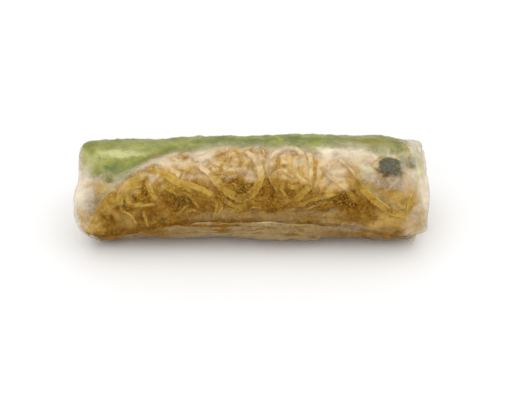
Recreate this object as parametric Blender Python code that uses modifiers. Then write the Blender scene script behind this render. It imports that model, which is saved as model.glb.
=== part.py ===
"""A fresh rice paper roll: a soaked sheet of rice paper, wound once and a quarter round its filling.

Frame: the roll's length lies along X, its front faces -Y and it rests on Z = 0, with the origin at
the middle of its base. Angles go round the roll, in degrees: 0 at the front, 90 on top, 180 at the
back and 270 underneath. The sheet is one piece. It starts underneath, goes up the front, over the
top, down the back and underneath again, to its free edge low on the front, and its ends turn in to
a small tucked hole. Inside lie lettuce along the top and back, noodles in front of the lettuce,
minced filling below both, and a piece of black mushroom near the right end.
"""

import math

import bmesh
import bpy
import numpy as np
from mathutils import Matrix, Vector, noise

# Driving dimensions, in metres.
LENGTH = 0.1304
WIDTH = 0.0387
HEIGHT = 0.0337
SHEET = 0.0006
CLEARANCE = 0.0003

# Cross-section: a superellipse, squarer underneath, where the roll sags on to its base.
TOP_POWER = 2.25
BASE_POWER = 2.8
BASE_CUT = 0.0007
SWELL = 0.035
SWELL_X = 0.016
SWELL_REACH = 0.034
DENT = 0.0007
DENT_SPACING = 0.017

# Ends: blunt, leaning out low on the front, with the lower front corners cut away.
END_POWER = 17.0
RIM_WEIGHT = 0.010
LEFT_LEAN = 0.0034
RIGHT_LEAN = 0.0007
LEAN_ANGLE = 15.0
CORNER_CUT = 0.0050
CORNER_ANGLE = -55.0
CORNER_REACH = 26.0
DIMPLE = 0.0022

# The sheet, round the roll. Its inner layer lies one step under its outer one.
SHEET_START = -100.0
SHEET_END = 354.0
EDGE_DROP = 44.0
STEP_FROM = 20.0
STEP_TO = 170.0
TUCK_REACH = 0.982
EAR_LIFT = 0.0016
EAR_X = 0.0588
EAR_REACH = 0.0030
EAR_ANGLE = 9.0
STEPS_ROUND = 46
STEPS_ALONG = 32

# The filling, and the wavy chords that part it.
FILLING_DEPTH = 2 * (SHEET + CLEARANCE)
FILLING_SHARE = 0.92
CORE_RINGS = 24
CORE_SIDES = 32
LETTUCE_FRONT = (42.0, 90.0)
LETTUCE_BACK = 196.0
NOODLES_FRONT = (24.0, 24.0)
NOODLES_BACK = 166.0
FRONT_TURN_X = -0.012
CHORD_WAVE = 0.0012
CHORD_CUTS = 14
CHORD_THICKNESS = 0.030
PIECE_SHIFT = 0.00025

# The mushroom: along the roll, into it and round it.
MUSHROOM_SIZE = (0.0115, 0.0036, 0.0074)
MUSHROOM_X = 0.0500
MUSHROOM_ANGLE = 60.0
MUSHROOM_DEPTH = 0.0036
MUSHROOM_LUMP = 0.16
MUSHROOM_BEND = 0.0010

# Each piece's colour and roughness.
FINISHES = {
    "rice_paper": ((0.62, 0.52, 0.36), 0.30),
    "lettuce": ((0.30, 0.38, 0.11), 0.50),
    "noodles": ((0.62, 0.40, 0.10), 0.35),
    "minced_filling": ((0.24, 0.12, 0.03), 0.60),
    "black_mushroom": ((0.05, 0.05, 0.04), 0.45),
}


def smooth_step(low, high, value):
    """0 before low, 1 past high, and a smooth change between them."""
    share = min(1.0, max(0.0, (value - low) / (high - low)))
    return share * share * (3 - 2 * share)


def hump(value, reach):
    """1 at zero, falling away smoothly over about reach."""
    return math.exp(-((value / reach) ** 2))


def end_profile():
    """The roll's outline from pole to pole: place along the surface, x share and section share."""
    turn = np.linspace(-math.pi / 2, math.pi / 2, 8001)
    x = np.sign(turn) * np.abs(np.sin(turn)) ** (2 / END_POWER)
    section = np.abs(np.cos(turn)) ** (2 / END_POWER)
    section[[0, -1]] = 0.0
    steps = (np.diff(x) * LENGTH / 2, np.diff(section) * HEIGHT / 2)
    heading = np.unwrap(np.arctan2(steps[1], steps[0]))
    bend = np.abs(np.gradient(heading)) * RIM_WEIGHT
    place = np.concatenate([[0.0], np.cumsum(np.hypot(*steps) + bend)])
    return 2 * place / place[-1] - 1, x, section


PROFILE = end_profile()


def half_length(side, section_share, angle):
    """From the roll's middle to its end, towards one side, at an angle and a share of the section."""
    lean = LEFT_LEAN if side < 0 else RIGHT_LEAN
    turn = (angle - CORNER_ANGLE + 180) % 360 - 180
    leaning = lean * (1 - math.cos(math.radians(angle - LEAN_ANGLE)))
    at_rim = leaning + CORNER_CUT * hump(turn, CORNER_REACH)
    at_tuck = lean + DIMPLE
    return LENGTH / 2 - at_rim * section_share - at_tuck * (1 - section_share)


def section_radius(x, angle):
    """From the roll's axis to its surface, before the base is cut flat."""
    turn = math.radians(angle)
    share = smooth_step(0.2, -0.6, math.sin(turn))
    power = TOP_POWER + (BASE_POWER - TOP_POWER) * share
    size = 1 - SWELL + SWELL * hump(x - SWELL_X, SWELL_REACH)
    across = abs(math.cos(turn)) / (size * WIDTH / 2)
    upright = abs(math.sin(turn)) / (size * (HEIGHT + BASE_CUT) / 2)
    plain = (across**power + upright**power) ** (-1 / power)
    place = Vector((x, math.cos(turn) * plain, math.sin(turn) * plain))
    return plain + DENT * noise.noise(place / DENT_SPACING)


def on_surface(place, angle):
    """A point of the roll's outer surface. place runs from -1 at the left pole to 1 at the right."""
    x_share = float(np.interp(place, PROFILE[0], PROFILE[1]))
    section_share = float(np.interp(place, PROFILE[0], PROFILE[2]))
    x = x_share * half_length(x_share, section_share, angle)
    radius = section_share * section_radius(x, angle)
    turn = math.radians(angle)
    z = (HEIGHT - BASE_CUT) / 2 + radius * math.sin(turn)
    return Vector((x, -radius * math.cos(turn), max(z, 0.0)))


def below_surface(place, angle, depth):
    """A point that far under the roll's outer surface, or above it if depth is negative."""
    round_step, along_step = 1.0, 0.006
    around = on_surface(place, angle + round_step) - on_surface(place, angle - round_step)
    along = on_surface(place + along_step, angle) - on_surface(place - along_step, angle)
    inward = around.cross(along).normalized()
    return on_surface(place, angle) + inward * depth


def sheet_point(along, around):
    """A point of the sheet's outer face. Both shares run from 0 to 1, along the roll and round it."""
    place = TUCK_REACH * (2 * along - 1)
    x = on_surface(place, 0).x
    end = SHEET_END - EDGE_DROP * (2 * x / LENGTH) ** 2
    angle = SHEET_START + (end - SHEET_START) * around
    layer = (SHEET + CLEARANCE) * (1 - smooth_step(STEP_FROM, STEP_TO, angle))
    from_ear = on_surface(place, angle).x - EAR_X
    ear = EAR_LIFT * hump(from_ear, EAR_REACH) * hump(angle - end, EAR_ANGLE)
    return below_surface(place, angle, layer - ear)


def front_edge(angles, x):
    """The angle of a filling's front edge, from its angle at the left end to that past the middle."""
    left, right = angles
    return left + (right - left) * smooth_step(-LENGTH / 2, FRONT_TURN_X, x)


def add_object(name, build, collection, origin):
    """An object whose mesh is what build puts into a bmesh, in a collection and under the origin."""
    shape = bmesh.new()
    build(shape)
    bmesh.ops.recalc_face_normals(shape, faces=shape.faces)
    mesh = bpy.data.meshes.new(name)
    shape.to_mesh(mesh)
    shape.free()
    mesh.shade_smooth()
    made = bpy.data.objects.new(name, mesh)
    collection.objects.link(made)
    made.parent = origin
    return made


def wound_sheet(shape):
    """The open surface of the wound sheet, from a flat grid."""
    made = bmesh.ops.create_grid(
        shape, x_segments=STEPS_ALONG, y_segments=STEPS_ROUND, size=0.5
    )
    for vertex in made["verts"]:
        vertex.co = sheet_point(vertex.co.x + 0.5, vertex.co.y + 0.5)


def filling_core(shape):
    """The closed outline of all the filling, just inside the sheet, from a sphere."""
    made = bmesh.ops.create_uvsphere(
        shape, u_segments=CORE_SIDES, v_segments=CORE_RINGS, radius=1
    )
    for vertex in made["verts"]:
        polar = math.acos(max(-1.0, min(1.0, vertex.co.z)))
        place = 1 - 2 * polar / math.pi
        angle = math.degrees(math.atan2(vertex.co.y, vertex.co.x))
        if abs(place) > 0.99:
            vertex.co = on_surface(place, 0) * Vector((1, 0, 1))
        else:
            vertex.co = below_surface(place, angle, FILLING_DEPTH)
        vertex.co.x *= FILLING_SHARE


def chord_slab(front_angles, back_angle, shift):
    """A builder of a thick slab whose lower face is a wavy chord from the roll's front to its back."""

    def build(shape):
        bmesh.ops.create_cube(shape, size=1)
        bmesh.ops.subdivide_edges(
            shape, edges=shape.edges[:], cuts=CHORD_CUTS, use_grid_fill=True
        )
        for vertex in shape.verts:
            x = vertex.co.x * 1.2 * LENGTH
            ends = []
            for angle in (front_edge(front_angles, x), back_angle):
                turn = math.radians(angle)
                ends.append(Vector((-math.cos(turn), math.sin(turn))) * WIDTH / 2)
            y, z = ends[0].lerp(ends[1], 0.5 + 1.6 * vertex.co.y)
            wave = CHORD_WAVE * noise.noise(Vector((x, y, back_angle)) / DENT_SPACING)
            lift = CHORD_THICKNESS * (vertex.co.z + 0.5)
            vertex.co = Vector((x, y, HEIGHT / 2 + z + wave + shift + lift))

    return build


def mushroom_flake(growth):
    """A builder of the mushroom piece, a bent and lumpy flake, larger all round by growth."""

    def build(shape):
        made = bmesh.ops.create_icosphere(shape, subdivisions=3, radius=1)
        for vertex in made["verts"]:
            lump = 1 + MUSHROOM_LUMP * noise.noise(vertex.co * 2.1)
            place = Vector([c * s / 2 for c, s in zip(vertex.co, MUSHROOM_SIZE)]) * lump
            place.y += MUSHROOM_BEND * (2 * place.x / MUSHROOM_SIZE[0]) ** 2
            vertex.co = place + vertex.co * growth
        out = Matrix.Rotation(math.radians(-MUSHROOM_ANGLE), 4, "X") @ Vector((0, -1, 0))
        radius = section_radius(MUSHROOM_X, MUSHROOM_ANGLE) - MUSHROOM_DEPTH
        middle = Vector((MUSHROOM_X, 0, (HEIGHT - BASE_CUT) / 2)) + out * radius
        lie = Matrix.Rotation(math.radians(-MUSHROOM_ANGLE), 4, "X")
        bmesh.ops.transform(shape, matrix=Matrix.Translation(middle) @ lie, verts=shape.verts)

    return build


def cut(target, operation, cutter):
    """Adds a Boolean with a cutter to an object."""
    boolean = target.modifiers.new(f"{operation.lower()} {cutter.name}", "BOOLEAN")
    boolean.operation = operation
    boolean.object = cutter


def finish(piece):
    """Gives a piece its own material."""
    colour, roughness = FINISHES[piece.name]
    made = bpy.data.materials.new(piece.name)
    made.use_nodes = True
    shader = made.node_tree.nodes["Principled BSDF"]
    shader.inputs["Base Color"].default_value = (*colour, 1)
    shader.inputs["Roughness"].default_value = roughness
    shader.inputs["Metallic"].default_value = 0.0
    made.diffuse_color = (*colour, 1)
    piece.data.materials.append(made)


def build_roll():
    """The whole roll, and the cutters that part its filling."""
    for old in list(bpy.data.objects):
        bpy.data.objects.remove(old)
    pieces = bpy.data.collections.new("rice_paper_roll")
    cutters = bpy.data.collections.new("cutters")
    for collection in (pieces, cutters):
        bpy.context.scene.collection.children.link(collection)
    origin = bpy.data.objects.new("roll_origin", None)
    pieces.objects.link(origin)

    def helper(name, build):
        made = add_object(name, build, cutters, origin)
        made.hide_render = True
        made.display_type = "WIRE"
        return made

    def slabs(name, front_angles, back_angle):
        return [
            helper(f"{name}_{side}", chord_slab(front_angles, back_angle, shift))
            for side, shift in (("above", PIECE_SHIFT), ("below", -PIECE_SHIFT))
        ]

    above_lettuce, below_lettuce = slabs("lettuce_chord", LETTUCE_FRONT, LETTUCE_BACK)
    above_noodles, below_noodles = slabs("noodles_chord", NOODLES_FRONT, NOODLES_BACK)
    pocket = helper("mushroom_pocket", mushroom_flake(CLEARANCE))

    sheet = add_object("rice_paper", wound_sheet, pieces, origin)
    solidify = sheet.modifiers.new("thickness", "SOLIDIFY")
    solidify.thickness = SHEET
    solidify.offset = -1
    solidify.use_even_offset = True

    lettuce = add_object("lettuce", filling_core, pieces, origin)
    cut(lettuce, "INTERSECT", above_lettuce)

    noodles = add_object("noodles", filling_core, pieces, origin)
    cut(noodles, "INTERSECT", above_noodles)
    cut(noodles, "DIFFERENCE", below_lettuce)
    cut(noodles, "DIFFERENCE", pocket)

    minced = add_object("minced_filling", filling_core, pieces, origin)
    cut(minced, "DIFFERENCE", below_noodles)
    cut(minced, "DIFFERENCE", below_lettuce)

    mushroom = add_object("black_mushroom", mushroom_flake(0), pieces, origin)

    for piece in (sheet, lettuce, noodles, minced, mushroom):
        finish(piece)


build_roll()
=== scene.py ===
"""A fresh rice paper roll: wet, translucent rice paper round lettuce, noodles, mince and mushroom.

Shapes are worked out in millimetres and become metres when their meshes are made. A place on the roll
is (s, angle). s goes along the roll and equals x on its barrel; past that it turns down the end face
to the pole. angle goes round the roll in degrees: 0 at the front, 90 on top, 180 at the back and 270
underneath. Depth goes inwards from the roll's smooth outline, which is read from the CAD sheet. The
sheet and its folded-in sides are draped over whatever lies under them, as wet rice paper clings.
"""

import math
import random

import bmesh
import bpy
import numpy as np
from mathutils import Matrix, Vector, noise
from mathutils.bvhtree import BVHTree


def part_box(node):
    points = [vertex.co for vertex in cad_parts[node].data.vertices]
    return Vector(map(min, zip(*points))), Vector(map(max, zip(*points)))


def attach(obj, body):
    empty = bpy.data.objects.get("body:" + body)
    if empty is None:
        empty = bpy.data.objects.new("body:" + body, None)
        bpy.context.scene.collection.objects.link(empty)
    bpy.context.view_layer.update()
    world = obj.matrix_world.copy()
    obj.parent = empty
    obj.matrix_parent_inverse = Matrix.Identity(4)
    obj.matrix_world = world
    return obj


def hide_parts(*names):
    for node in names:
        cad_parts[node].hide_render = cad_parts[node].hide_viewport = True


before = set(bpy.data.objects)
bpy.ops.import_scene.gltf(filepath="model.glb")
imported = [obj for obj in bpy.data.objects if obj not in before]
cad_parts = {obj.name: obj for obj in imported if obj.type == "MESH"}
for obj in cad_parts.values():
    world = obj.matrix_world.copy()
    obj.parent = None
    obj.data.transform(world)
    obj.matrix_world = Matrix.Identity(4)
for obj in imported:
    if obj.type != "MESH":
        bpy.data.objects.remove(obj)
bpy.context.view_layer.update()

MM = 0.001
LOW, HIGH = (np.array(corner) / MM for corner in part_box("rice_paper"))
AXIS_Z = (LOW[2] + HIGH[2]) / 2
END_X = (HIGH[0] - LOW[0]) / 2

# The grid that every layer is sampled on.
ALONG, ROUND = 300, 240
DEGREE = 0.32  # one degree round the roll
SPINE = 50.0  # the axis's stretch whose rays go straight out
END_RUN = 13.0  # from there to the end face, along the roll
END_FALL = 17.0  # from the end face's rim to its middle
THICK = 0.9  # a noodle
PROUD = 1.5  # how far outside the outline rays start
DEEPEST = 6.0  # how far under the outline rays look
LEAF_THICK = 0.6  # the lettuce
S_END = SPINE + END_RUN + END_FALL
ROW_S = np.linspace(-S_END, S_END, ALONG + 1)[:, None]
COLUMN_ANGLE = (np.arange(ROUND) * 360 / ROUND)[None, :]
GRID_S, GRID_ANGLE = np.meshgrid(ROW_S, COLUMN_ANGLE, indexing="ij")

# The wound sheet, as the CAD part winds it.
SHEET_START, SHEET_END, EDGE_DROP = -100.0, 354.0, 44.0
CAD_LENGTH, CAD_STEP = 130.4, 0.9
STEP_FROM, STEP_TO = 20.0, 170.0
EDGE_GAP, POLE_GAP = 4.5, 4.0  # no outline is read this near the edge, in degrees, or this near a pole
TIP_S, TIP_WIDTH, TIP_OUT = 57.0, 1.5, 3.4  # the tip that the sheet's corner makes
LAYER = 0.45  # between the sheet's layers here, where they cling
PUSH, ROUNDS = 0.02, 320  # how hard and how often a draped layer is pressed down

# Lines on the roll. Where the folded-in sides end and where the roll's ends turn creamy, as (angle, s).
# Then, as (s, angle), the leaf's edges and the line above which things look pale through the sheet,
# as milky haze and painted sheen of the light from above.
LEFT_FOLD = [
    (-30, -59.5), (-5, -56), (19, -52.5), (32, -49), (40, -46.5), (53, -42), (62, -37.5), (70, -32.5),
    (79, -28), (87, -25), (96, -22), (125, -17), (180, -22), (235, -34), (290, -50), (330, -59.5),
]
RIGHT_FOLD = [
    (-8, 59.5), (6, 54), (8, 51.5), (15, 48), (22, 45), (30, 42), (36, 40), (44, 38), (52, 36), (61, 34.5),
    (71, 32.5), (77, 30.5), (84, 29), (107, 25), (140, 25), (200, 30), (260, 44), (310, 56), (352, 59.5),
]
LEFT_CREAM = [
    (-32, -58), (-16, -62), (3, -60), (15, -58.5), (30, -56.5), (42, -57), (55, -57.5), (72, -60),
    (98, -62), (180, -60), (270, -60), (320, -58),
]
RIGHT_CREAM = [
    (-27, 56), (3, 57.5), (21, 60.5), (43, 60.5), (62, 61), (88, 61.5), (110, 60), (180, 57), (270, 56),
]
LEAF_FRONT = [
    (-58, 42), (-53.5, 44), (-51, 39), (-46.5, 42), (-44, 48), (-39, 60), (-36, 70), (-33, 79),
    (-26.5, 90), (-20, 88), (-12, 94), (-7, 97), (-0.5, 92), (3, 95), (8, 88), (12.5, 92), (17.5, 90),
    (22.5, 79), (24.5, 84), (27, 92), (30, 93), (36, 94), (40, 91), (43.5, 84), (47.5, 82), (51.5, 84),
    (57, 86),
]
HAZE_SHEEN_LINE = [
    (-60, 60), (-40, 58), (-33, 57), (-28, 50), (-22, 45), (-17, 46), (-12, 48), (-6, 50), (0, 51),
    (4, 50), (10, 50), (16, 48), (21, 44), (24, 42), (28, 33), (33, 33), (36, 40), (40, 50), (60, 60),
]
LEAF_BACK = [
    (-59, 196), (-40, 206), (-20, 192), (0, 203), (22, 190), (40, 204), (57, 196),
]

# Patches, as (s, angle, reach along the roll, reach round it, strength). TONES makes the mince and the
# noodles pale golden, or dark where the strength is negative. LEAF_SHADES makes the lettuce pale or dark
# in the same way. TINTS tints the sheet greyish green, or tan where the strength is negative, and the last
# list makes it milky, or clearer; on the upper side its milky patches also stand for painted sheen.
TONES = [
    (-22, 79, 3, 2.5, -1), (-18, 55, 2.5, 2, -0.6), (-3, 54, 3, 3, -0.9), (-43, 32, 3, 4, 1),
    (-30.5, 38, 3, 2, 0.7), (48, -15, 7, 4, 0.7), (14, -8, 4, 2, 0.6), (-31, -12, 4, 2, 0.5),
    (24, 38, 2, 2, -0.5), (-9, 55, 2, 3, -0.3), (28, 40, 6, 4, 1.4), (50, 62, 8, 6, -0.3),
    # The dark patch at (-60, 28) on the next line is painted shade on the left end.
    (56, 30, 3, 6, 0.8), (-60, 28, 3, 4, -0.3), (-60, -10, 3, 7, 0.9), (-16, 46, 3, 2.5, -0.2),
    (-37, 29, 0.9, 0.9, -1), (-25.5, 23, 3.6, 2.4, -1.2), (-22, 17, 3, 1.5, -0.7),
    (-4.5, 36, 2.6, 1.8, -0.8), (8, 28, 1.6, 2.4, -1.1), (6, 13, 2, 1.3, -0.9), (34, 26, 4, 3.5, -1.1),
    (36.5, -1, 1.2, 1, -0.5), (-51, -8, 2.2, 3, -0.9), (-7.5, 23, 2, 0.7, -0.6), (28.5, 16, 4, 0.8, -0.5),
    (-34, 8, 2, 0.8, -0.4), (41.5, 22, 1, 1.5, -0.4), (-16, 15, 1.5, 1.2, -0.5), (0, 8, 3, 0.7, -0.5),
    (-44.5, -6, 4, 4, 0.45), (-40, 32, 1.6, 1.3, 0.7), (-34, 44, 1.4, 1, 1.2), (-53, 7, 4, 4, 0.8),
    (-53, 41, 4, 3, 1.2), (51, 27, 6, 4, 0.9), (32, 8, 4, 3, -0.25), (54, 11, 2.5, 3, 1),
    (-49, 1, 2, 3, 0.5), (-3, 48, 3, 3, 0.6), (3, 46, 2, 3, 0.4), (-16, 41, 3, 2.5, 0.5),
    (60, 22, 3, 8, 1), (60, 92, 3, 5, 0.8), (57.5, 73, 2.2, 4, -1.2), (-3.7, 24, 3, 1.5, -0.6),
    (-52, 35, 3, 3, 0.8), (52, 15, 2, 2, 0.8), (48, -6, 6, 3, 0.7), (26.5, -6, 5, 1.6, 0.5),
    (-9, 69, 6, 5, 0.4), (14, 61, 6, 5, 0.9), (31.5, 61, 7, 5, 1.1), (-27, 62, 5, 4, 1),
    (-9, 3, 5, 1.2, 0.5), (3.5, 0, 5, 1, 0.4), (-20, -1, 3, 1.5, 0.4), (1, 48, 2, 2.5, -0.3),
    (12, 20, 2, 1.5, 0.5), (16.5, 38, 2.5, 2, 0.6), (37, 37, 2, 4, 0.6), (41, 30, 2.5, 3, 0.5),
    (-55, -20, 4, 3, 0.6), (-2.5, 24, 3, 1.5, -0.7), (20, 29, 2, 2, -0.9), (-22, 31, 2, 1.5, -0.6),
]
LEAF_SHADES = [
    (-50, 86, 5, 3, 0.9), (-43.5, 79, 5, 2.6, 0.8), (-48.5, 58, 3.4, 2.5, -1.1), (-39, 82, 4, 3, 0.3),
    (-42.5, 68, 3, 2.4, -0.8), (-56, 73, 3, 5, 0.3), (-36, 88, 5, 3, 0.3), (-55, 101, 5, 1.5, -0.3),
    (24.5, 82, 3, 2, 0.6), (-12, 103, 14, 3, -0.5), (15, 104, 12, 3, -0.5), (44, 98, 10, 4, -0.5),
    (-30, 108, 5, 1.5, 0.3),
]
TINTS = [
    (50, 66, 8, 6, 0.3), (60, 65, 4, 8, 0.6), (-60, 88, 3, 7, 0.9), (-46, 45, 8, 4, 0.8),
    (-10, 98, 30, 3, 0.3), (25, 96, 10, 3, 0.6), (-20, -2, 16, 2.5, -0.8), (15, -4, 16, 3, -0.8),
    (-42, -18, 8, 4, -0.9), (45, 15, 6, 5, -0.6), (28, 45, 5, 4, -0.2), (-53, 41, 5, 3, -1.1),
    (48, 64, 6, 5, 0.5), (2, 47, 4, 3, -0.4), (-15, 47, 4, 3, -0.4), (50, -15, 9, 8, -0.7),
    (-5.6, 64, 1, 0.8, 1.2), (17, 67, 1.4, 1, 1.2), (-44, -6, 5, 5, -0.7), (0, 2, 36, 5, -0.7),
    (35, 25, 5, 6, -0.6), (40, 5, 8, 8, -0.6), (46, -10, 8, 5, -0.3), (55, 14, 4, 6, 0.5),
    (-17, 52, 5, 4, -0.6), (-1, 50, 3, 6, -0.6), (3, 72, 3, 4, -0.5), (40, 56, 4, 4, 0.4),
    (42, 103, 10, 3, -1), (56, 84, 6, 7, 0.4), (-57, -9, 4, 5, -0.4), (60, 72, 5, 8, 0.3),
    (60, -5, 4, 8, -0.6), (-46, 34, 4, 3, -0.5),
]
# On the upper side, the milky patches here also stand for painted sheen of the light from above.
MILKY_AND_SHEEN = [
    (48, 62, 3.5, 2.7, -0.8), (-56.5, -13, 3, 4, -0.2), (54.5, 87, 3, 2, 0.2), (60, 32, 2, 3, -0.1),
    (57, 71, 2.2, 2.6, -0.12), (42, 64, 1.6, 4, 0.2), (61.5, 8, 2, 6, 0.2), (54.5, 62, 1.6, 4, 0.2),
    (53, 78, 3, 3, 0.15), (34, 29, 4, 4, -0.15), (-14, -15, 9, 2, -0.1), (-18, -17, 4, 2, -0.12),
    (-60, 12, 3, 8, 0.12), (-10, 54, 3, 4, -0.12), (2, 47, 4, 3, -0.2), (-16, 48, 5, 3, -0.2),
    (-58, 30, 3, 5, 0.1), (14, -15, 4, 2, 0.12), (-3, 24, 3, 2, -0.08), (48, 79, 5, 2, 0.5),
    (42, 62, 4, 4, 0.15), (39.5, 75, 4, 4, 0.35), (57, 55, 4, 7, 0.35), (50, 45, 6, 2.5, 0.2),
    (28, 84, 7, 2.5, 0.35), (41, 86, 3, 2, 0.35), (12, 79, 5, 3, 0.15), (-52, 41, 4, 3, 0.2),
    (60.5, 16, 2, 9, 0.25), (30, 42, 4, 4, 0.08), (28, 54, 4, 5, 0.2), (-58, 25, 3, 7, 0.3),
    (-15, 0, 12, 2.4, 0.25), (12, 2, 16, 2.4, 0.25), (-5.6, 64, 1, 0.8, 0.3), (17, 67, 1.4, 1, 0.3),
    (40, -12, 12, 3, 0.06), (-46, 100, 14, 3, 0.12), (-53, 42, 3, 2, 0.15), (29, 76, 4, 3, 0.42),
    (-25, 92, 5, 3, -0.12), (27, 88, 4, 2, 0.35), (47, 88, 3, 2, 0.3), (35.5, 85, 4, 3, 0.5),
    (41, 57, 2.4, 2, 0.6), (43, 46, 3, 2, 0.2), (31.5, 55, 3, 3, 0.2), (-30.5, 69, 5, 2, 0.4),
    (-16.5, 74, 3, 2.5, 0.45), (-27.5, 65, 4, 2.5, 0.35), (-34.5, 46, 2, 1.2, 0.45),
    (-44.5, -7, 4, 4.5, 0.12), (-45, 34, 3, 3, 0.15), (-38, 50, 6, 2, 0.1), (46, 100, 12, 3, 0.12),
    (-17, 87, 4, 2, 0.4), (-13, 96, 8, 1.5, 0.1), (2.5, 71, 1.4, 3.5, 0.3), (17.5, 64, 2, 2, 0.3),
    (7, 68, 1.4, 4, 0.3), (52.5, 21, 3, 2, 0.08), (51, 37, 5, 2, 0.15), (-44, 82, 5, 2, 0.15),
    (28, 4, 6, 1.5, 0.15), (8.5, -4, 8, 1, 0.2), (58, 87, 4, 2, 0.3), (63, 92, 3, 5, -0.1),
    (58.5, 94, 2.5, 5, 0.1), (-56, 54, 3, 4, 0.25), (-17, 71, 4, 2.5, 0.25), (36.5, 38, 2, 4, 0.05),
    (61.5, 22, 1.5, 6, 0.2), (26, -8, 5, 2, 0.15), (36, -18, 8, 2, 0.18), (48, -20, 6, 2, 0.18),
]
NO_BITS = (48, 62, 8, 7)  # where the mince shows no golden bits

# Bulges of the outline, as (s, angle, reach along, reach round, mm), lumps of its top, as (s, mm),
# creases in the sheet, as (width, how milky, (s, angle) points), and how many more are on its back.
BULGES = [
    (-61, 95, 4, 9, 1.9), (-54, -42, 8, 6, 1.9), (-62, -20, 3, 5, 0.4), (-62, 15, 3, 6, 0.4),
    (-70, 60, 7, 8, -3.1), (-70, 25, 7, 6, -1.3), (-61, 60, 2, 6, -0.3), (-66, 45, 5, 4, -2),
    (64, 104, 3, 6, -2.4), (63, -30, 3, 6, 1.8), (63, 20, 3, 9, 0.3), (62, 60, 3, 9, -0.6),
    (70, 60, 8, 12, -1.4), (69, 2, 7, 5, -0.8), (20, -42, 5, 6, 0.9), (50, -44, 9, 6, 1),
    (-14, -46, 5, 4, -0.5),
]
TOP_LUMPS = [
    (-64, -0.9), (-56, -0.7), (-40, -0.7), (-30, -0.5), (-20, -0.6), (-12, 0.3), (0, 0.5), (14, 0.7),
    (20, 1), (28, 0.9), (36, 0.1), (42, -0.4), (47, 0.6), (51, 0.3), (56, -1.3), (61, -0.2), (64, -0.3),
]
CREASES = [
    (0.6, 0.15, [(47.5, 36), (48, 31), (49.5, 36), (52, 44)]),
    (0.6, 0.3, [(58.5, 92), (59.5, 72), (60, 57), (60, 40)]),
    (0.5, 0.15, [(55, 0), (55, -13), (55.5, -30)]),
    (0.5, 0.3, [(57.5, -16), (57, -40)]),
    (0.5, 0.3, [(-61.5, -14), (-59, -12), (-57, -21), (-55.5, -36)]),
    (0.5, 0.25, [(49.5, 88), (49, 78), (48, 70)]),
    (0.5, 0.25, [(52, 90), (51.5, 80), (51, 74)]),
    (1.6, 0.25, [(-47, 45), (-42, 55), (-37, 65), (-32, 75), (-27, 83)]),
    (0.6, 0.25, [(43, 86), (44.5, 77), (45, 68)]),
]
BACK_CREASES = 18

# The mushroom's flakes, as (s from the CAD solid's middle, angle, half length, half width, how thick,
# cover).
FLAKES = [(0, 62, 5.0, 4.5, 0.85, 1.0), (6.8, 73, 4.0, 4.2, 0.5, 0.4)]


def rise(low, high, value):
    """0 before low, 1 past high, and a smooth rise between them."""
    share = np.clip((value - low) / (high - low), 0, 1)
    return share * share * (3 - 2 * share)


def mixed(low, high, share):
    """Between low and high."""
    return low + (high - low) * share


def bell(away, width):
    """1 where away is 0, falling away to both sides over a width."""
    return np.exp(-((away / width) ** 2))


def unit(vectors):
    """Vectors made one long."""
    return vectors / np.linalg.norm(vectors, axis=-1, keepdims=True)


def wrapped(angle, lowest=-180):
    """The same angle, from the lowest one up to a full turn past it."""
    return (angle - lowest) % 360 + lowest


def blurred(field, cells, axis, wrap):
    """A field smoothed along one of its axes, over that many cells."""
    reach = int(3 * cells) + 1
    weights = np.exp(-0.5 * (np.arange(-reach, reach + 1) / cells) ** 2)
    pads = [(0, 0)] * field.ndim
    pads[axis] = (reach, reach)
    padded = np.pad(field, pads, mode="wrap" if wrap else "edge")
    count = field.shape[axis]
    parts = [w * np.take(padded, range(k, k + count), axis=axis) for k, w in enumerate(weights)]
    return sum(parts) / weights.sum()


def noise_at(points, size, seed, octaves=2):
    """Smooth noise of about -1 to 1 at points, whose largest features are of that size."""
    shift = Vector((seed * 17.3, seed * 5.1, seed * 11.7))
    flat = (points.reshape(-1, 3) / size).tolist()
    values = [noise.fractal(Vector(p) + shift, 0.9, 2.0, octaves) for p in flat]
    return 1.6 * np.array(values).reshape(points.shape[:-1])


def patch(s, angle, at_s, at_angle, reach_s, reach_round):
    """1 at a place on the roll, falling away over a reach along the roll and one round it."""
    away = wrapped(angle - at_angle) * DEGREE
    return np.exp(-(((s - at_s) / reach_s) ** 2) - (away / reach_round) ** 2)


def sheet_end(s):
    """The angle of the sheet's free edge."""
    return SHEET_END - EDGE_DROP * (2 * np.clip(s, -END_X, END_X) / CAD_LENGTH) ** 2


# The roll's outline.


def ray(s, angle):
    """The origin and the direction of the ray from the roll's axis through a place on the roll."""
    past = np.maximum(np.abs(s) - SPINE, 0)
    along = np.sign(s) * np.minimum(past, END_RUN)
    out = np.maximum(END_FALL - np.maximum(past - END_RUN, 0), 0)
    turn = np.radians(angle)
    way = unit(np.stack([along + 0 * turn, -out * np.cos(turn), out * np.sin(turn)], -1))
    flat = 0 * way[..., 0]
    return np.stack([np.clip(s, -SPINE, SPINE) + flat, flat, AXIS_Z + flat], -1), way


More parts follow.
